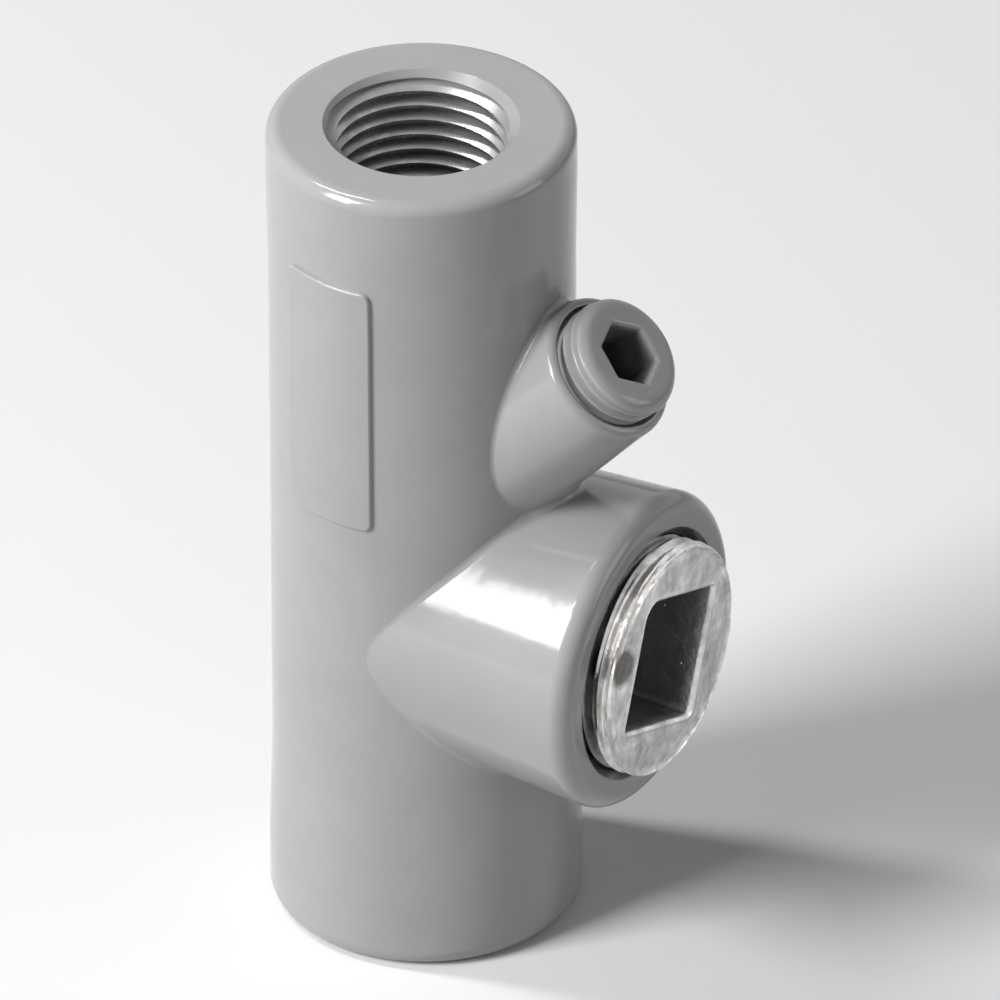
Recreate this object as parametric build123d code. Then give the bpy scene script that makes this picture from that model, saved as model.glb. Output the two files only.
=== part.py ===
from build123d import *

import os
from math import cos, radians, sin, tan

# A cast conduit sealing fitting with its two taper-thread plugs, in millimetres.
# The origin is the centre of the lower hub's face and +Z runs up the barrel.
# Both bosses point towards +X: the wide packing boss level, the pour boss tilted up.

# Barrel
overall_height = 98.5
barrel_radius = 16.6
upper_hub_radius = 16.8
upper_hub_straight = 6.0
upper_hub_draft = 10.5
lower_hub_radius = 17.0
lower_hub_straight = 8.0
lower_hub_draft = 12.0
upper_rim_rounding = 1.6
lower_rim_rounding = 2.0

# Conduit hubs, each with a cast-in bushing between its thread and the chamber
hub_bore_radius = 10.35
hub_bore_depth = 18.0
hub_countersink = 0.3
bushing_radius = 7.9
bushing_length = 3.2
bushing_lip = 1.2
chamber_wall = 3.2
chamber_corner = 2.6

# Packing boss, a wide level branch with its own taper thread
packing_axis_height = 39.4
packing_boss_reach = 28.3
packing_boss_radius = 18.0
packing_boss_root_inset = 0.35
packing_boss_rounding = 2.0
packing_crease_fillet = 0.9
packing_thread_radius = 13.35
packing_countersink = 0.95

# Pour boss, tilted up from the barrel
pour_axis_height = 51.45
pour_boss_tilt = 45.0
pour_boss_reach = 33.3
pour_boss_radius = 8.2
pour_boss_draft_angle = 3.0
pour_boss_rounding = 0.95
pour_crease_fillet = 0.6
pour_thread_radius = 6.9
pour_thread_depth = 11.0
pour_drill_radius = 5.6
pour_countersink = 0.4

# Taper pipe thread: the radius falls by this much for each millimetre of depth
thread_taper = 1 / 32
thread_clearance = 0.08

# Packing plug, with a square recess
packing_plug_stand = 2.7
packing_plug_length = 17.4
packing_plug_front_chamfer = 0.55
packing_plug_rear_chamfer = 1.2
packing_recess_side = 14.6
packing_recess_depth = 10.5
packing_recess_turn = -21.5
packing_recess_corner = 0.7
packing_recess_draft_angle = 1.5
packing_recess_lip = 0.45

# Pour plug, with a hexagon socket
pour_plug_stand = 3.6
pour_plug_length = 12.2
pour_plug_front_rounding = 1.9
pour_plug_rear_chamfer = 0.8
pour_socket_width = 6.35
pour_socket_depth = 6.6
pour_socket_turn = 17.0
pour_socket_lip = 0.35
pour_socket_drill_angle = 118.0

# Raised blank label pad
label_bearing = -97.6
label_width = 11.0
label_height = 30.5
label_centre_height = 71.4
label_proud = 0.5
label_corner = 1.0
label_edge_rounding = 0.25

# How far a cutting form runs past the face that it cuts
overrun = 1.0


def turned(outline):
    """Revolves (radius, height, corner rounding) points about Z into a solid."""
    points = [(radius, height) for radius, height, _ in outline]
    profile = make_face(Polyline(*points, close=True))
    for radius, height, rounding in outline:
        if rounding:
            corner = profile.vertices().sort_by_distance((radius, height))[0]
            profile = fillet(corner, rounding)
    return revolve(Plane.XZ * profile, Axis.Z)


def branch(axis_height, tilt):
    """The plane of a branch: its Z runs out along the branch from the barrel's axis."""
    outward = (cos(radians(tilt)), 0, sin(radians(tilt)))
    return Plane(origin=(0, 0, axis_height), x_dir=(0, 1, 0), z_dir=outward)


packing_branch = branch(packing_axis_height, 0)
pour_branch = branch(pour_axis_height, pour_boss_tilt)


def barrel(growth=0):
    """The barrel's outside, a post that widens to both hubs; growth adds to its radius."""
    top_straight = overall_height - upper_hub_straight
    outline = [
        (0, 0, 0),
        (lower_hub_radius + growth, 0, lower_rim_rounding),
        (lower_hub_radius + growth, lower_hub_straight, 0),
        (barrel_radius + growth, lower_hub_straight + lower_hub_draft, 0),
        (barrel_radius + growth, top_straight - upper_hub_draft, 0),
        (upper_hub_radius + growth, top_straight, 0),
        (upper_hub_radius + growth, overall_height, upper_rim_rounding),
        (0, overall_height, 0),
    ]
    return Rot(Z=180) * turned(outline)


def packing_boss():
    """The wide boss, drafted so that it leaves the barrel at the barrel's own width."""
    root_radius = barrel_radius - packing_boss_root_inset
    outline = [
        (0, 0, 0),
        (root_radius, 0, 0),
        (packing_boss_radius, packing_boss_reach, packing_boss_rounding),
        (0, packing_boss_reach, 0),
    ]
    return packing_branch * turned(outline)


def pour_boss():
    """The tilted boss, which narrows towards its mouth."""
    root_radius = pour_boss_radius + pour_boss_reach * tan(radians(pour_boss_draft_angle))
    outline = [
        (0, 0, 0),
        (root_radius, 0, 0),
        (pour_boss_radius, pour_boss_reach, pour_boss_rounding),
        (0, pour_boss_reach, 0),
    ]
    return pour_branch * turned(outline)


def conduit_way():
    """The hollow along the barrel: two hub bores, two bushings and the sealing chamber."""
    mouth = hub_bore_radius + hub_countersink
    chamber_radius = barrel_radius - chamber_wall
    bushing_end = hub_bore_depth + bushing_length
    lower_half = [
        (0, -overrun, 0),
        (mouth + overrun, -overrun, 0),
        (hub_bore_radius, hub_countersink, 0),
        (hub_bore_radius, hub_bore_depth, 0),
        (bushing_radius, hub_bore_depth, bushing_lip),
        (bushing_radius, bushing_end, bushing_lip),
        (chamber_radius, bushing_end, chamber_corner),
    ]
    upper_half = [(radius, overall_height - height, corner) for radius, height, corner in reversed(lower_half)]
    return turned(lower_half + upper_half)


def tapered_port(radius, reach, depth, countersink):
    """A taper-thread hole at the thread's major radius, cut back from a boss face."""
    outline = [
        (0, reach - depth, 0),
        (radius - depth * thread_taper, reach - depth, 0),
        (radius - countersink * thread_taper, reach - countersink, 0),
        (radius + countersink + overrun, reach + overrun, 0),
        (0, reach + overrun, 0),
    ]
    return turned(outline)


def label_pad():
    """The raised blank pad on the barrel, following the barrel's own surface."""
    outward = Vector(1, 0, 0).rotate(Axis.Z, label_bearing)
    front = Plane(origin=(0, 0, label_centre_height), x_dir=outward.cross(Vector(0, 0, -1)), z_dir=outward)
    outline = front * RectangleRounded(label_width, label_height, label_corner)
    pad = extrude(outline, 2 * barrel_radius) & barrel(label_proud)
    front_face = pad.faces().sort_by(Axis(front.origin, outward))[-1]
    return fillet(front_face.edges(), label_edge_rounding)


def make_body():
    """The cast body: barrel, bosses and pad in one casting, with every hollow cut from it."""
    tee = barrel() + packing_boss()
    tee = fillet(tee.edges().filter_by(GeomType.BSPLINE), packing_crease_fillet)
    outside = tee + pour_boss()
    pour_flank = pour_branch.from_local_coords((0, -pour_boss_radius, pour_boss_reach - pour_thread_depth / 2))
    pour_side = outside.faces().sort_by_distance(pour_flank)[0]
    outside = fillet(pour_side.edges().filter_by(GeomType.BSPLINE), pour_crease_fillet)
    packing_port = packing_branch * tapered_port(
        packing_thread_radius, packing_boss_reach, packing_boss_reach, packing_countersink
    )
    pour_port = pour_branch * tapered_port(pour_thread_radius, pour_boss_reach, pour_thread_depth, pour_countersink)
    pour_drill = pour_branch * extrude(Circle(pour_drill_radius), pour_boss_reach)
    return outside + label_pad() - conduit_way() - packing_port - pour_port - pour_drill


def plug_blank(radius, reach, stand, length, front, rear_chamfer):
    """A tapered plug, its thread at the major radius, standing out of its port's face."""
    face = reach + stand
    tail = face - length
    face_radius = radius - thread_clearance + stand * thread_taper
    tail_radius = face_radius - length * thread_taper
    outline = [
        (0, tail, 0),
        (tail_radius - rear_chamfer, tail, 0),
        (tail_radius, tail + rear_chamfer, 0),
        *front(face_radius, face),
        (0, face, 0),
    ]
    return turned(outline)


def make_packing_plug():
    """The wide plug: a tapered thread blank with a drafted square recess in its face."""

    def chamfered(face_radius, face):
        chamfer_size = packing_plug_front_chamfer
        return [(face_radius, face - chamfer_size, 0), (face_radius - chamfer_size, face, 0)]

    blank = plug_blank(
        packing_thread_radius,
        packing_boss_reach,
        packing_plug_stand,
        packing_plug_length,
        chamfered,
        packing_plug_rear_chamfer,
    )
    face = packing_boss_reach + packing_plug_stand
    square = Rot(Z=packing_recess_turn) * RectangleRounded(
        packing_recess_side, packing_recess_side, packing_recess_corner
    )
    recess = extrude(Pos(Z=face) * square, -packing_recess_depth, taper=packing_recess_draft_angle)
    plug = blank - recess
    mouth = plug.faces().sort_by(Axis.Z)[-1].inner_wires()[0].edges()
    return packing_branch * chamfer(mouth, packing_recess_lip)


def make_pour_plug():
    """The small plug: a tapered thread blank with a hexagon socket over a drill point."""

    def rounded(face_radius, face):
        return [(face_radius, face, pour_plug_front_rounding)]

    blank = plug_blank(
        pour_thread_radius,
        pour_boss_reach,
        pour_plug_stand,
        pour_plug_length,
        rounded,
        pour_plug_rear_chamfer,
    )
    face = pour_boss_reach + pour_plug_stand
    socket_floor = face - pour_socket_depth
    hexagon = Rot(Z=pour_socket_turn) * RegularPolygon(pour_socket_width / 2, 6, major_radius=False)
    socket = extrude(Pos(Z=face) * hexagon, -pour_socket_depth)
    drill_radius = pour_socket_width / 2
    drill_point = drill_radius / tan(radians(pour_socket_drill_angle / 2))
    point = turned([(0, socket_floor - drill_point, 0), (drill_radius, socket_floor, 0), (0, socket_floor, 0)])
    lip_radius = drill_radius / cos(radians(30)) + pour_socket_lip
    lip = turned([(0, face - lip_radius, 0), (lip_radius, face, 0), (0, face, 0)])
    return pour_branch * (blank - socket - point - lip)


pieces = {
    "sealing_body": make_body(),
    "packing_plug": make_packing_plug(),
    "pour_plug": make_pour_plug(),
}
os.makedirs("parts", exist_ok=True)
for name, piece in pieces.items():
    export_step(piece, f"parts/{name}.step")
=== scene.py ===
import math

import bmesh
import bpy
from mathutils import Matrix, Vector, noise


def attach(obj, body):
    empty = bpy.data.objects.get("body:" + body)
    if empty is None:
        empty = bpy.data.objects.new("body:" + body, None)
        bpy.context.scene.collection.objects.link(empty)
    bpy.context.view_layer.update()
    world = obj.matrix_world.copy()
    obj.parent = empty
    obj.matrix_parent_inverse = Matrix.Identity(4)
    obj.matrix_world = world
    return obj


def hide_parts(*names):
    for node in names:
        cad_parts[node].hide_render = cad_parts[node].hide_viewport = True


mm = 0.001

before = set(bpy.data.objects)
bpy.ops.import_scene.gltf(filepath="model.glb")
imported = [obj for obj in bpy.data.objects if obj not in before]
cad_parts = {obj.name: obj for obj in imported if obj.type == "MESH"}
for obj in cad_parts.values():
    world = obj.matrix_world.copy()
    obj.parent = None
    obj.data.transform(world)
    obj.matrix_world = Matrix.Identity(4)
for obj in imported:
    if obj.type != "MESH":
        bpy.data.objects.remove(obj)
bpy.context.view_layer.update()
print("frame loaded:", sorted(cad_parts))


# Camera: a very long lens, so the view is almost without perspective

photoCamera = {
    "azimuth": 31.0,
    "elevation": 33.6,
    "roll": -0.35,
    "distance": 4.4,
    "aim": (7.05 * mm, 4.24 * mm, 49.7 * mm),
    "frameWidth": 108.1 * mm,
    "sensor": 36.0,
    "clipEnd": 20,
}


def makeCamera(spec):
    az = math.radians(spec["azimuth"])
    el = math.radians(spec["elevation"])
    towards = Vector((math.sin(az) * math.cos(el), -math.cos(az) * math.cos(el), math.sin(el)))
    data = bpy.data.cameras.new("photoCamera")
    data.sensor_width = spec["sensor"]
    data.lens = spec["sensor"] * spec["distance"] / spec["frameWidth"]
    data.clip_end = spec["clipEnd"]
    camera = bpy.data.objects.new("photoCamera", data)
    bpy.context.scene.collection.objects.link(camera)
    camera.location = Vector(spec["aim"]) + towards * spec["distance"]
    turn = towards.to_track_quat("Z", "Y").to_matrix()
    camera.rotation_euler = (turn @ Matrix.Rotation(math.radians(spec["roll"]), 3, "Z")).to_euler()
    bpy.context.scene.camera = camera


makeCamera(photoCamera)
print("camera placed")


# Branches of the casting: a mouth's centre, and the direction that its hole opens towards.
# Local Z of a branch runs out of the mouth, and height 0 is the mouth's plane. Local X is level.

branches = {
    "upper": {"axisHeight": 0.0, "direction": (0, 0, 1), "reach": 98.5 * mm},
    "lower": {"axisHeight": 0.0, "direction": (0, 0, -1), "reach": 0.0},
    "packing": {"axisHeight": 39.4 * mm, "direction": (1, 0, 0), "reach": 28.3 * mm},
    "pour": {"axisHeight": 51.45 * mm, "direction": (1, 0, 1), "reach": 33.3 * mm},
}
branchAcross = Vector((0, 1, 0))


def mouthMatrix(spec):
    outward = Vector(spec["direction"]).normalized()
    turn = Matrix((branchAcross, outward.cross(branchAcross), outward)).transposed().to_4x4()
    centre = Vector((0, 0, spec["axisHeight"])) + outward * spec["reach"]
    return Matrix.Translation(centre) @ turn


# Mesh helpers, and how near two points or a point and a plane count as one

weldDistance = 0.01 * mm
rimTolerance = 0.004 * mm
cutTolerance = 0.001 * mm


def finishMesh(bm, name, body, smoothAngle=35):
    bmesh.ops.recalc_face_normals(bm, faces=bm.faces)
    mesh = bpy.data.meshes.new(name)
    bm.to_mesh(mesh)
    bm.free()
    mesh.shade_smooth()
    mesh.set_sharp_from_angle(angle=math.radians(smoothAngle))
    piece = bpy.data.objects.new(name, mesh)
    bpy.context.scene.collection.objects.link(piece)
    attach(piece, body)
    return piece


def newVerts(result):
    return [g for g in result["geom"] if isinstance(g, bmesh.types.BMVert)]


def newRim(result):
    return [g for g in result["geom"] if isinstance(g, bmesh.types.BMEdge) and g.is_boundary]


def setRadius(verts, rule):
    # rule(radius, height, angle) gives each point's new distance from the local Z axis
    for vert in verts:
        radius = math.hypot(vert.co.x, vert.co.y)
        if radius > 0:
            scale = rule(radius, vert.co.z, math.atan2(vert.co.y, vert.co.x)) / radius
            vert.co.x *= scale
            vert.co.y *= scale


def setHeight(verts, height):
    for vert in verts:
        vert.co.z = height


def cutFlat(bm, height, keepBelow):
    bmesh.ops.bisect_plane(
        bm,
        geom=list(bm.verts) + list(bm.edges) + list(bm.faces),
        dist=cutTolerance,
        plane_co=(0, 0, height),
        plane_no=(0, 0, 1),
        clear_outer=keepBelow,
        clear_inner=not keepBelow,
    )


def edgesAt(bm, height):
    def isAt(vert):
        return abs(vert.co.z - height) < rimTolerance

    return [e for e in bm.edges if e.is_boundary and all(isAt(v) for v in e.verts)]


def threadProfile(outer, inner, pitch, flats, flankSteps):
    # one turn of a pipe thread from one outer edge to the next: outer flat, flank, inner flat, flank
    rise = (pitch - sum(flats)) / 2
    fall = []
    for i in range(flankSteps + 1):
        fall.append((outer + (inner - outer) * i / flankSteps, flats[0] / 2 + rise * i / flankSteps))
    climb = [(radius, pitch - height) for radius, height in reversed(fall)]
    return [(outer, 0)] + fall + climb + [(outer, pitch)]


def spinThread(bm, spec, outer, inner, low, high, startAngle=0.0):
    # a helix of the profile that covers low to high; phase is where an outer edge crosses height 0
    pitch = spec["pitch"]
    segments = spec["segments"]
    offset = pitch * (startAngle - spec["phase"]) / math.tau
    firstTurn = math.floor((low - offset) / pitch) - 2
    turns = math.ceil((high - low) / pitch) + 4
    spoke = Vector((math.cos(startAngle), math.sin(startAngle), 0))
    profile = threadProfile(outer, inner, pitch, spec["flats"], spec["flankSteps"])
    height0 = offset + firstTurn * pitch
    lift = Vector((0, 0, 1))
    points = [bm.verts.new(spoke * radius + lift * (height0 + height)) for radius, height in profile]
    lines = [bm.edges.new(pair) for pair in zip(points, points[1:])]
    # one turn is spun, then the turns above it are copies of it
    bmesh.ops.spin(
        bm,
        geom=points + lines,
        cent=(0, 0, 0),
        axis=(0, 0, 1),
        dvec=(0, 0, pitch / segments),
        angle=math.tau,
        steps=segments,
    )
    oneTurn = list(bm.verts) + list(bm.edges) + list(bm.faces)
    for turn in range(1, turns):
        copied = bmesh.ops.duplicate(bm, geom=oneTurn)
        bmesh.ops.translate(bm, vec=(0, 0, turn * pitch), verts=newVerts(copied))
    bmesh.ops.remove_doubles(bm, verts=bm.verts, dist=weldDistance)
    cutFlat(bm, high, True)
    cutFlat(bm, low, False)


# Threaded sleeves: the tapered pipe threads cut in the four mouths of the casting.
# A thread's radii are those at the mouth's plane, and its flats the lengths of its outer and inner edges.

taper = 1 / 32
sleeveInset = 0.04 * mm
hubThread = {
    "pitch": 25.4 / 14 * mm,
    "outer": 10.3 * mm,
    "inner": 9.25 * mm,
    "flats": (0.2 * mm, 0.24 * mm),
    "flankSteps": 6,
    "segments": 144,
    "depth": 17.9 * mm,
    "mouth": 10.62 * mm,
    "wall": 10.8 * mm,
}
sleeves = {
    "upperHubThread": {"branch": "upper", "phase": math.radians(-100), **hubThread},
    "lowerHubThread": {"branch": "lower", "phase": 0.0, **hubThread},
    "packingPortThread": {
        "branch": "packing",
        "pitch": 25.4 / 14 * mm,
        "phase": math.radians(6),
        "outer": 13.31 * mm,
        "inner": 12.08 * mm,
        "flats": (0.72 * mm, 0.02 * mm),
        "flankSteps": 3,
        "segments": 144,
        "depth": 14.4 * mm,
        "mouth": 14.26 * mm,
        "wall": 14.6 * mm,
    },
    "pourPortThread": {
        "branch": "pour",
        "pitch": 25.4 / 18 * mm,
        "phase": 0.0,
        "outer": 6.86 * mm,
        "inner": 6.1 * mm,
        "flats": (0.34 * mm, 0.02 * mm),
        "flankSteps": 3,
        "segments": 96,
        "depth": 10.9 * mm,
        "mouth": 7.26 * mm,
        "wall": 7.5 * mm,
    },
}


def makeSleeve(name, spec):
    bm = bmesh.new()
    spinThread(bm, spec, spec["outer"], spec["inner"], -spec["depth"], -sleeveInset)
    # the mouth's countersink opens the first turn
    setRadius(bm.verts, lambda radius, z, angle: max(radius + z * taper, spec["mouth"] + z))
    rims = []
    for height in (-sleeveInset, -spec["depth"]):
        grown = bmesh.ops.extrude_edge_only(bm, edges=edgesAt(bm, height))
        setRadius(newVerts(grown), lambda radius, z, angle: spec["wall"])
        rims += newRim(grown)
    bmesh.ops.bridge_loops(bm, edges=rims)
    bmesh.ops.transform(bm, matrix=mouthMatrix(branches[spec["branch"]]), verts=bm.verts)
    return finishMesh(bm, name, "fitting")


sleevePieces = {name: makeSleeve(name, spec) for name, spec in sleeves.items()}
print("sleeves cut:", {name: len(piece.data.polygons) for name, piece in sleevePieces.items()})


# Plugs: a tapered thread with a polygon socket in its face. A noise is read in one slice of space,
# at so many waves to the metre.

plugs = {
    "threadedPackingPlug": {
        "branch": "packing",
        "replaces": "packing_plug",
        "body": "wide_plug",
        "slot": "bare_plug",
        "pitch": 25.4 / 14 * mm,
        "phase": math.radians(6),
        "outer": 13.25 * mm,
        "inner": 12.1 * mm,
        "flats": (0.6 * mm, 0.1 * mm),
        "flankSteps": 7,
        "segments": 192,
        "stand": 2.7 * mm,
        "length": 17.4 * mm,
        "rearChamfer": 1.2 * mm,
        "frontRounding": 0.45 * mm,
        "wornRim": {"extra": 0.5 * mm, "towards": math.radians(120)},
        "rimGroove": {
            "radius": 12.3 * mm,
            "width": 0.45 * mm,
            "depth": 0.22 * mm,
            "oneSided": 0.4,
            "towards": math.radians(120),
        },
        "ridges": {"spacing": 0.82 * mm, "depth": 0.3 * mm},
        "runOut": {"length": 2.4 * mm, "fill": 0.75},
        "faceGroove": {"below": 0.62 * mm, "width": 0.2 * mm, "depth": 0.45 * mm},
        "ragged": 0.16 * mm,
        "smoothAngle": 40,
        "sides": 4,
        "halfWidth": 7.3 * mm,
        "turn": math.radians(23.5),
        "corners": (0.5 * mm, 2.0 * mm, 0.6 * mm, 0.7 * mm),
        "lip": 0.65 * mm,
        "socketDepth": 10.5 * mm,
        "socketDraft": 0.27 * mm,
        "drillDepth": 0.0,
        "faceLoops": 18,
        "faceWave": 0.22 * mm,
        "faceGrain": 0.12 * mm,
        "scar": {
            "at": (-9.5 * mm, 4.3 * mm),
            "along": math.radians(68),
            "size": (3.0 * mm, 1.9 * mm),
            "depth": 0.3 * mm,
        },
    },
    "threadedPourPlug": {
        "branch": "pour",
        "replaces": "pour_plug",
        "body": "small_plug",
        "slot": "painted_plug",
        "pitch": 25.4 / 18 * mm,
        "phase": 0.0,
        "outer": 6.8 * mm,
        "inner": 6.05 * mm,
        "flats": (0.25 * mm, 0.25 * mm),
        "flankSteps": 5,
        "segments": 144,
        "stand": 3.6 * mm,
        "length": 12.2 * mm,
        "rearChamfer": 0.8 * mm,
        "frontRounding": 1.8 * mm,
        "wornRim": None,
        "rimGroove": None,
        "ridges": {"spacing": 0.7 * mm, "depth": 0.09 * mm},
        "runOut": {"length": 2.4 * mm, "fill": 0.6},
        "faceGroove": None,
        "ragged": 0.02 * mm,
        "smoothAngle": 75,
        "sides": 6,
        "halfWidth": 3.175 * mm,
        "turn": math.radians(17),
        "corners": (0.25 * mm,) * 6,
        "lip": 0.6 * mm,
        "socketDepth": 6.6 * mm,
        "socketDraft": 0.0,
        "drillDepth": 1.7 * mm,
        "faceLoops": 6,
        "faceWave": 0.06 * mm,
        "faceGrain": 0.0,
        "scar": None,
    },
}
faceNoise = {
    "wave": {"scale": 420, "slice": 0.3 * mm},
    "grain": {"scale": 1500, "slice": 1.3 * mm},
}
threadWear = {
    "always": 0.5,
    "patches": 0.3,
    "patchScale": 900,
    "scratches": 0.5,
    "scratchScale": 3000,
    "scratchTurn": 0.8,
    "scratchSlice": 3.7,
}
lipSteps = 4
socketFloorShare = 0.96  # of the socket's half width, where its floor begins
drillTipShare = 0.1  # of the socket's half width, the blunt tip of the drill point
tailShare = 0.7  # of the tail's radius, where its flat middle begins


def polygonRadius(angle, sides, halfWidth, corners, turn):
    # distance to a polygon's outline, its corners rounded, the first corner at the turn
    step = math.tau / sides
    index = round((angle - turn) / step)
    away = abs((angle - turn) - index * step)
    rounding = corners[index % sides]
    half = step / 2
    pivot = (halfWidth - rounding) / math.cos(half)
    if away > math.atan2(rounding * math.sin(half), pivot + rounding * math.cos(half)):
        return halfWidth / math.cos(half - away)
    return pivot * math.cos(away) + math.sqrt(rounding**2 - (pivot * math.sin(away)) ** 2)


def noiseShare(spec, x, y):
    return noise.noise(Vector((x, y, spec["slice"])) * spec["scale"]) * 0.5 + 0.5


def faceDip(spec, x, y):
    # how far the rough cast face lies below its highest plane
    wave = noiseShare(faceNoise["wave"], x, y)
    grain = noiseShare(faceNoise["grain"], x, y)
    dip = spec["faceWave"] * wave + spec["faceGrain"] * grain
    ring, scar = spec["rimGroove"], spec["scar"]
    if ring:
        ringShare = max(0.0, 1 - abs(math.hypot(x, y) - ring["radius"]) / ring["width"])
        side = math.cos(math.atan2(y, x) - ring["towards"])
        dip += ring["depth"] * ringShare * (1 - ring["oneSided"] + ring["oneSided"] * side)
    if scar:
        dx, dy = x - scar["at"][0], y - scar["at"][1]
        cosine, sine = math.cos(scar["along"]), math.sin(scar["along"])
        u = (dx * cosine + dy * sine) / scar["size"][0]
        v = (dy * cosine - dx * sine) / scar["size"][1]
        dip += scar["depth"] * min(1.0, max(0.0, 2 - 2 * math.hypot(u, v)))
    return dip


def makePlug(name, spec):
    bm = bmesh.new()
    top = spec["stand"]
    tail = top - spec["length"]
    spinThread(bm, spec, spec["outer"], spec["inner"], tail, top, spec["turn"])
    faceRadius = spec["outer"] + top * taper
    tailRadius = spec["outer"] + tail * taper
    runOut, groove, ridges = spec["runOut"], spec["faceGroove"], spec["ridges"]
    worn, wear = spec["wornRim"], threadWear

    def turnedDown(radius, z, angle):
        # the thread runs out towards the face, where a narrow groove may part it from the rim
        near = min(1.0, max(0.0, 1 - (top - z) / runOut["length"]))
        wanted = spec["outer"] - (spec["outer"] - radius) * (1 - runOut["fill"] * near) + z * taper
        if groove:
            wanted -= groove["depth"] * max(0.0, 1 - abs(top - groove["below"] - z) / groove["width"])
        spot = Vector((math.cos(angle), math.sin(angle), z / spec["outer"])) * spec["outer"]
        patches = noise.noise(spot * wear["patchScale"])
        along = Vector((z * wear["scratchScale"], angle * wear["scratchTurn"], wear["scratchSlice"]))
        rough = wear["always"] + wear["patches"] * patches + wear["scratches"] * noise.noise(along)
        wanted -= spec["ragged"] * rough
        wanted -= ridges["depth"] * (0.5 - 0.5 * math.cos(math.tau * (top - z) / ridges["spacing"]))
        wanted = min(wanted, tailRadius - spec["rearChamfer"] + z - tail)
        bend = spec["frontRounding"]
        if worn:
            bend += worn["extra"] * (0.5 + 0.5 * math.cos(angle - worn["towards"]))
        if z > top - bend:
            return min(wanted, faceRadius - bend + math.sqrt(max(0, bend**2 - (z - top + bend) ** 2)))
        return wanted

    setRadius(bm.verts, turnedDown)
    outerRim = edgesAt(bm, top)
    rimVerts = {v for e in outerRim for v in e.verts}
    rimRadius = {round(math.atan2(v.co.y, v.co.x), 4): math.hypot(v.co.x, v.co.y) for v in rimVerts}

    def socketRadius(angle, growth):
        half = spec["halfWidth"] + growth
        corners = [corner + growth for corner in spec["corners"]]
        return polygonRadius(angle, spec["sides"], half, corners, spec["turn"])

    # loops across the face, from the outer rim in to the socket's lip
    faceVerts = list(rimVerts)
    rim = outerRim
    for loop in range(1, spec["faceLoops"] + 1):
        share = loop / spec["faceLoops"]
        grown = bmesh.ops.extrude_edge_only(bm, edges=rim)

        def towardsSocket(radius, z, angle):
            start = rimRadius[round(angle, 4)]
            return start + (socketRadius(angle, spec["lip"]) - start) * share

        setRadius(newVerts(grown), towardsSocket)
        faceVerts += newVerts(grown)
        rim = newRim(grown)
    for vert in faceVerts:
        vert.co.z -= faceDip(spec, vert.co.x, vert.co.y)

    # the socket: a rounded lip, walls and floor
    stages = []
    for step in range(1, lipSteps + 1):
        turn = math.pi / 2 * step / lipSteps
        stages.append((spec["lip"] * (1 - math.sin(turn)), spec["lip"] * (1 - math.cos(turn))))
    stages.append((-spec["socketDraft"] * 0.5, spec["socketDepth"] / 2))
    stages.append((-spec["socketDraft"], spec["socketDepth"]))
    for growth, depth in stages:
        grown = bmesh.ops.extrude_edge_only(bm, edges=rim)
        setRadius(newVerts(grown), lambda radius, z, angle: socketRadius(angle, growth))
        setHeight(newVerts(grown), top - depth)
        rim = newRim(grown)
    grown = bmesh.ops.extrude_edge_only(bm, edges=rim)
    setRadius(newVerts(grown), lambda radius, z, angle: socketFloorShare * spec["halfWidth"])
    rim = newRim(grown)
    if spec["drillDepth"]:
        grown = bmesh.ops.extrude_edge_only(bm, edges=rim)
        setRadius(newVerts(grown), lambda radius, z, angle: drillTipShare * spec["halfWidth"])
        setHeight(newVerts(grown), top - spec["socketDepth"] - spec["drillDepth"])
        rim = newRim(grown)
    bmesh.ops.holes_fill(bm, edges=rim, sides=0)
    tailRim = edgesAt(bm, tail)
    grown = bmesh.ops.extrude_edge_only(bm, edges=tailRim)
    setRadius(newVerts(grown), lambda radius, z, angle: tailShare * tailRadius)
    bmesh.ops.holes_fill(bm, edges=newRim(grown), sides=0)
    bmesh.ops.transform(bm, matrix=mouthMatrix(branches[spec["branch"]]), verts=bm.verts)
    piece = finishMesh(bm, name, spec["body"], spec["smoothAngle"])
    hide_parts(spec["replaces"])
    return piece


plugPieces = {name: makePlug(name, spec) for name, spec in plugs.items()}
print("plugs turned:", {name: len(piece.data.polygons) for name, piece in plugPieces.items()})


# Floor, sky and light

studio = {
    "floorSize": 6.0,
    "floorColour": (0.95, 0.95, 0.95, 1),
    "bounceColour": (0.55, 0.55, 0.55, 1),
    "floorRoughness": 0.9,
    "skyColour": (1, 1, 1, 1),
    "skyStrength": 0.1,
}


def addNode(tree, kind, inputs, **settings):
    # inputs takes plain values, and sockets of other nodes to link
    node = tree.nodes.new(kind)
    for key, value in settings.items():
        setattr(node, key, value)
    for key, value in inputs.items():
        if isinstance(value, bpy.types.NodeSocket):
            tree.links.new(value, node.inputs[key])
        else:
            node.inputs[key].default_value = value
    return node


def doMath(tree, operation, first, second):
    return addNode(tree, "ShaderNodeMath", {0: first, 1: second}, operation=operation).outputs[0]


def doVector(tree, operation, inputs):
    return addNode(tree, "ShaderNodeVectorMath", inputs, operation=operation).outputs


def mixColour(tree, share, first, second, blend="MIX"):
    # the colour sockets of a Mix node are its inputs 6 and 7, and its output 2
    inputs = {0: share, 6: first, 7: second}
    return addNode(tree, "ShaderNodeMix", inputs, data_type="RGBA", blend_type=blend).outputs[2]


def mixNumber(tree, share, first, second):
    return addNode(tree, "ShaderNodeMix", {0: share, 2: first, 3: second}).outputs[0]


def mapRange(tree, value, low, high, toLow=0.0, toHigh=1.0):
    inputs = {"Value": value, "From Min": low, "From Max": high, "To Min": toLow, "To Max": toHigh}
    return addNode(tree, "ShaderNodeMapRange", inputs).outputs[0]


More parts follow.
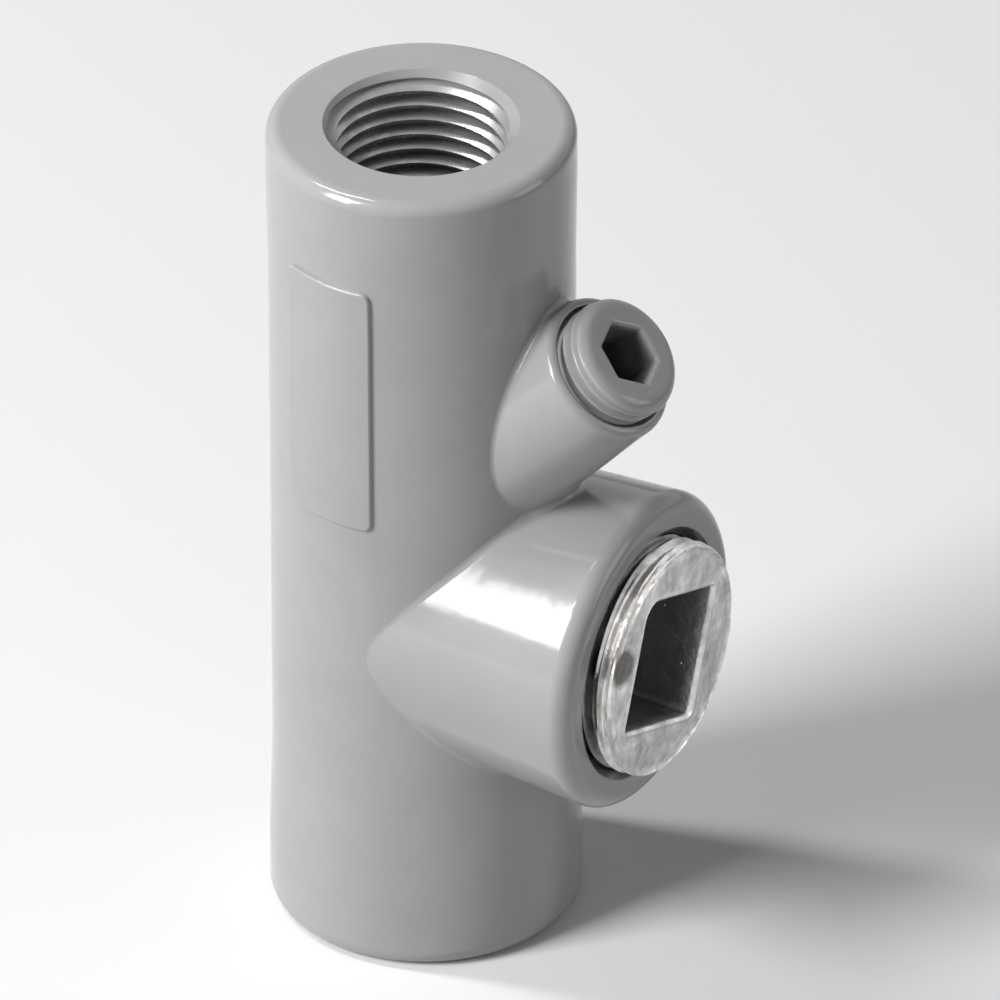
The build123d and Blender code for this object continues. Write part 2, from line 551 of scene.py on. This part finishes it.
def seenWhite(tree):
    # 1 where the camera, a reflection or glass looks at the background
    path = addNode(tree, "ShaderNodeLightPath", {}).outputs
    seen = doMath(tree, "MAXIMUM", path["Is Camera Ray"], path["Is Glossy Ray"])
    return doMath(tree, "MAXIMUM", seen, path["Is Transmission Ray"])


def newMaterial(name):
    material = bpy.data.materials.new(name)
    material.use_nodes = True
    return material, material.node_tree, material.node_tree.nodes["Principled BSDF"].inputs


def makeStage(spec):
    bm = bmesh.new()
    bmesh.ops.create_grid(bm, x_segments=1, y_segments=1, size=spec["floorSize"] / 2)
    mesh = bpy.data.meshes.new("floor")
    bm.to_mesh(mesh)
    bm.free()
    floor = bpy.data.objects.new("floor", mesh)
    bpy.context.scene.collection.objects.link(floor)
    material, tree, shader = newMaterial("paleFloor")
    colour = mixColour(tree, seenWhite(tree), spec["bounceColour"], spec["floorColour"])
    tree.links.new(colour, shader["Base Color"])
    shader["Roughness"].default_value = spec["floorRoughness"]
    mesh.materials.append(material)
    world = bpy.data.worlds.new("studioSky")
    world.use_nodes = True
    tree = world.node_tree
    background = tree.nodes["Background"]
    background.inputs["Color"].default_value = spec["skyColour"]
    strength = mapRange(tree, seenWhite(tree), 0.0, 1.0, spec["skyStrength"], 1.0)
    tree.links.new(strength, background.inputs["Strength"])
    bpy.context.scene.world = world


makeStage(studio)

softboxes = {
    "keyLeft": {"size": (0.42, 0.7), "towards": (-0.43, -0.7, 0.55), "distance": 1.2, "power": 14.5},
    "topStrip": {"size": (0.07, 0.5), "towards": (-0.46, -0.12, 0.87), "distance": 1.1, "power": 4.0},
    "fillRight": {"size": (0.6, 0.8), "towards": (0.9, 0.35, 0.15), "distance": 1.4, "power": 2.6},
}
softboxAim = Vector((5 * mm, 0, 50 * mm))


def makeSoftbox(name, spec):
    data = bpy.data.lights.new(name, "AREA")
    data.shape = "RECTANGLE"
    data.size, data.size_y = spec["size"]
    data.energy = spec["power"]
    light = bpy.data.objects.new(name, data)
    bpy.context.scene.collection.objects.link(light)
    towards = Vector(spec["towards"]).normalized()
    light.location = softboxAim + towards * spec["distance"]
    light.rotation_euler = towards.to_track_quat("Z", "Y").to_euler()


for name, spec in softboxes.items():
    makeSoftbox(name, spec)
print("stage and lights ready")


# Shared effects, as node groups

castNoise = {
    "waveDetail": 2.0,
    "grainDetail": 4.0,
    "stainDetail": 5.0,
    "stainRoughness": 0.62,
    "stainRange": (0.35, 0.68),
    "pitEdge": (0.05, 0.12),
}


def newGroup(name, inputs, outputs):
    tree = bpy.data.node_groups.new(name, "ShaderNodeTree")
    for socket, (kind, value) in inputs.items():
        tree.interface.new_socket(socket, in_out="INPUT", socket_type=kind).default_value = value
    for socket in outputs:
        tree.interface.new_socket(socket, in_out="OUTPUT", socket_type="NodeSocketFloat")
    entry = addNode(tree, "NodeGroupInput", {})
    leave = addNode(tree, "NodeGroupOutput", {})
    return tree, entry.outputs, leave.inputs


def objectPlace(tree):
    return addNode(tree, "ShaderNodeTexCoord", {}).outputs["Object"]


def noiseAt(tree, place, size, detail, roughness=0.5):
    scale = doMath(tree, "DIVIDE", 1.0, size)
    inputs = {"Vector": place, "Scale": scale, "Detail": detail, "Roughness": roughness}
    return addNode(tree, "ShaderNodeTexNoise", inputs).outputs["Fac"]


def makeCastSkin():
    # the slow waves, fine grain, stains and pits of a sand casting
    number = "NodeSocketFloat"
    inputs = {
        "Wave Size": (number, 6 * mm),
        "Grain Size": (number, 0.5 * mm),
        "Stain Size": (number, 9 * mm),
        "Pit Size": (number, 2.5 * mm),
        "Pit Share": (number, 0.05),
    }
    tree, entry, leave = newGroup("castSkin", inputs, ["Wave", "Grain", "Stain", "Pit"])
    place = objectPlace(tree)
    look = castNoise
    tree.links.new(noiseAt(tree, place, entry["Wave Size"], look["waveDetail"]), leave["Wave"])
    tree.links.new(noiseAt(tree, place, entry["Grain Size"], look["grainDetail"]), leave["Grain"])
    stain = noiseAt(tree, place, entry["Stain Size"], look["stainDetail"], look["stainRoughness"])
    tree.links.new(mapRange(tree, stain, *look["stainRange"]), leave["Stain"])
    cells = doMath(tree, "DIVIDE", 1.0, entry["Pit Size"])
    pits = addNode(tree, "ShaderNodeTexVoronoi", {"Vector": place, "Scale": cells}).outputs
    edge = mapRange(tree, pits["Distance"], *look["pitEdge"], 1.0, 0.0)
    pick = addNode(tree, "ShaderNodeSeparateColor", {0: pits["Color"]}).outputs[0]
    chosen = doMath(tree, "LESS_THAN", pick, entry["Pit Share"])
    tree.links.new(doMath(tree, "MULTIPLY", edge, chosen), leave["Pit"])
    return tree


def makeBoreZone():
    # 1 within a radius of a mouth's axis, between a depth below the mouth and a height above it
    number, vector = "NodeSocketFloat", "NodeSocketVector"
    inputs = {
        "Mouth": (vector, (0, 0, 0)),
        "Outward": (vector, (0, 0, 1)),
        "Radius": (number, 10 * mm),
        "Depth": (number, 10 * mm),
        "Height": (number, 1 * mm),
        "Softness": (number, 0.05 * mm),
    }
    tree, entry, leave = newGroup("boreZone", inputs, ["Mask"])
    away = doVector(tree, "SUBTRACT", {0: objectPlace(tree), 1: entry["Mouth"]})["Vector"]
    along = doVector(tree, "DOT_PRODUCT", {0: away, 1: entry["Outward"]})["Value"]
    onAxis = doVector(tree, "SCALE", {0: entry["Outward"], "Scale": along})["Vector"]
    aside = doVector(tree, "SUBTRACT", {0: away, 1: onAxis})["Vector"]
    distance = doVector(tree, "LENGTH", {0: aside})["Value"]
    softness = entry["Softness"]

    def under(value, limit):
        gap = doMath(tree, "SUBTRACT", limit, value)
        return mapRange(tree, doMath(tree, "DIVIDE", gap, softness), -1.0, 1.0)

    above = doMath(tree, "MULTIPLY", along, -1.0)
    between = doMath(tree, "MULTIPLY", under(above, entry["Depth"]), under(along, entry["Height"]))
    tree.links.new(doMath(tree, "MULTIPLY", under(distance, entry["Radius"]), between), leave["Mask"])
    return tree


castSkin = makeCastSkin()
boreZone = makeBoreZone()

# Finishes. A zone lists a branch, a radius, a depth below its mouth and a height above it,
# and may end with a place beside the branch's axis. It has its own colour and roughness.
# A shade zone darkens the colour by the finish's shade, as where little light gets in.

shadeColour = (0.02, 0.02, 0.02, 1)
shadeSoftness = 0.6 * mm

finishes = {
    "glossGreyPaint": {
        "light": (0.42, 0.42, 0.42, 1),
        "dark": (0.39, 0.39, 0.39, 1),
        "metallic": 0.0,
        "roughness": (0.12, 0.17),
        "skin": {
            "Wave Size": 4.5 * mm,
            "Grain Size": 0.7 * mm,
            "Stain Size": 16 * mm,
            "Pit Size": 5 * mm,
            "Pit Share": 0.03,
        },
        "waveDepth": 0.06 * mm,
        "grainDepth": 0.004 * mm,
        "pitDepth": 0.05 * mm,
        "zones": [
            ("upper", 10.66 * mm, 18.2 * mm, -1.2 * mm),
            ("upper", 13.75 * mm, 79.5 * mm, -18.0 * mm),
            ("lower", 10.66 * mm, 18.2 * mm, -1.2 * mm),
            ("packing", 14.33 * mm, 28.2 * mm, 0.5 * mm),
            ("pour", 7.33 * mm, 33.2 * mm, 0.5 * mm),
        ],
        "zoneColour": (0.3, 0.29, 0.28, 1),
        "zoneSoftness": 0.05 * mm,
        "zoneRoughness": 0.42,
        "zoneMetallic": 1.0,
        "shadeZones": [],
        "shade": 0.0,
    },
    "paintedPlug": {
        "light": (0.42, 0.418, 0.42, 1),
        "dark": (0.39, 0.388, 0.39, 1),
        "metallic": 0.0,
        "roughness": (0.12, 0.17),
        "skin": {
            "Wave Size": 4 * mm,
            "Grain Size": 0.7 * mm,
            "Stain Size": 8 * mm,
            "Pit Size": 4 * mm,
            "Pit Share": 0.03,
        },
        "waveDepth": 0.05 * mm,
        "grainDepth": 0.004 * mm,
        "pitDepth": 0.03 * mm,
        "zones": [("pour", 8 * mm, 20 * mm, -0.5 * mm)],
        "zoneColour": (0.42, 0.4, 0.38, 1),
        "zoneSoftness": 0.05 * mm,
        "zoneRoughness": 0.36,
        "zoneMetallic": 1.0,
        "shadeZones": [("pour", 4.4 * mm, 9 * mm, 3.0 * mm)],
        "shade": 0.55,
    },
    "barePlug": {
        "light": (0.82, 0.81, 0.8, 1),
        "dark": (0.37, 0.36, 0.35, 1),
        "metallic": 1.0,
        "roughness": (0.28, 0.5),
        "skin": {
            "Wave Size": 1.6 * mm,
            "Grain Size": 0.3 * mm,
            "Stain Size": 3.6 * mm,
            "Pit Size": 1.6 * mm,
            "Pit Share": 0.1,
        },
        "waveDepth": 0.1 * mm,
        "grainDepth": 0.03 * mm,
        "pitDepth": 0.08 * mm,
        "zones": [("packing", 2.1 * mm, 1 * mm, 4 * mm, (-9.5 * mm, 4.3 * mm))],
        "zoneColour": (0.17, 0.165, 0.16, 1),
        "zoneSoftness": 0.4 * mm,
        "zoneRoughness": 0.5,
        "zoneMetallic": 1.0,
        "shadeZones": [
            ("packing", 10.4 * mm, 8.4 * mm, 1.7 * mm),
            ("packing", 15 * mm, 20 * mm, 0.4 * mm),
        ],
        "shade": 0.55,
    },
    "cutThread": {
        "light": (0.44, 0.435, 0.43, 1),
        "dark": (0.3, 0.295, 0.29, 1),
        "metallic": 0.85,
        "roughness": (0.24, 0.36),
        "skin": {
            "Wave Size": 2 * mm,
            "Grain Size": 0.25 * mm,
            "Stain Size": 3 * mm,
            "Pit Size": 1.5 * mm,
            "Pit Share": 0.0,
        },
        "waveDepth": 0.02 * mm,
        "grainDepth": 0.002 * mm,
        "pitDepth": 0.0,
        "zones": [("upper", 12 * mm, 1.5 * mm, 1 * mm), ("lower", 12 * mm, 1.5 * mm, 1 * mm)],
        "zoneColour": (0.36, 0.36, 0.36, 1),
        "zoneSoftness": 0.25 * mm,
        "zoneRoughness": 0.3,
        "zoneMetallic": 0.0,
        "shadeZones": [("packing", 14.6 * mm, 12 * mm, 1 * mm), ("pour", 7.5 * mm, 10 * mm, 1 * mm)],
        "shade": 0.5,
    },
}


def addGroup(tree, group, inputs):
    node = tree.nodes.new("ShaderNodeGroup")
    node.node_tree = group
    for key, value in inputs.items():
        node.inputs[key].default_value = value
    return node.outputs


def zoneMask(tree, zones, softness):
    masks = []
    for branch, radius, depth, height, *beside in zones:
        place = mouthMatrix(branches[branch])
        inputs = {
            "Mouth": place @ Vector((*beside[0], 0)) if beside else place.to_translation(),
            "Outward": place.to_3x3() @ Vector((0, 0, 1)),
            "Radius": radius,
            "Depth": depth,
            "Height": height,
            "Softness": softness,
        }
        masks.append(addGroup(tree, boreZone, inputs)["Mask"])
    whole = masks[0]
    for mask in masks[1:]:
        whole = doMath(tree, "MAXIMUM", whole, mask)
    return whole


def castFinish(name, spec):
    material, tree, shader = newMaterial(name)
    skin = addGroup(tree, castSkin, spec["skin"])
    colour = mixColour(tree, skin["Stain"], spec["light"], spec["dark"])
    roughness = mapRange(tree, skin["Stain"], 0.0, 1.0, *spec["roughness"])
    zone = zoneMask(tree, spec["zones"], spec["zoneSoftness"])
    colour = mixColour(tree, zone, colour, spec["zoneColour"])
    roughness = mixNumber(tree, zone, roughness, spec["zoneRoughness"])
    if spec["metallic"] == spec["zoneMetallic"]:
        shader["Metallic"].default_value = spec["metallic"]
    else:
        metallic = mixNumber(tree, zone, spec["metallic"], spec["zoneMetallic"])
        tree.links.new(metallic, shader["Metallic"])
    if spec["shadeZones"]:
        shade = doMath(tree, "MULTIPLY", zoneMask(tree, spec["shadeZones"], shadeSoftness), spec["shade"])
        colour = mixColour(tree, shade, colour, shadeColour)
    tree.links.new(colour, shader["Base Color"])
    tree.links.new(roughness, shader["Roughness"])
    pits = doMath(tree, "SUBTRACT", 1.0, skin["Pit"])
    bumps = [(skin["Wave"], "waveDepth"), (skin["Grain"], "grainDepth"), (pits, "pitDepth")]
    normal = None
    for height, depth in bumps:
        inputs = {"Height": height, "Distance": spec[depth], "Strength": 1.0}
        if normal:
            inputs["Normal"] = normal
        normal = addNode(tree, "ShaderNodeBump", inputs).outputs[0]
    tree.links.new(normal, shader["Normal"])
    return material


materials = {name: castFinish(name, spec) for name, spec in finishes.items()}
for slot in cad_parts["sealing_body"].material_slots:
    slot.material = materials["glossGreyPaint"]
plugPieces["threadedPackingPlug"].data.materials.append(materials["barePlug"])
plugPieces["threadedPourPlug"].data.materials.append(materials["paintedPlug"])
for piece in sleevePieces.values():
    piece.data.materials.append(materials["cutThread"])
print("finishes made:", sorted(materials))

bpy.context.scene.view_settings.view_transform = "Standard"
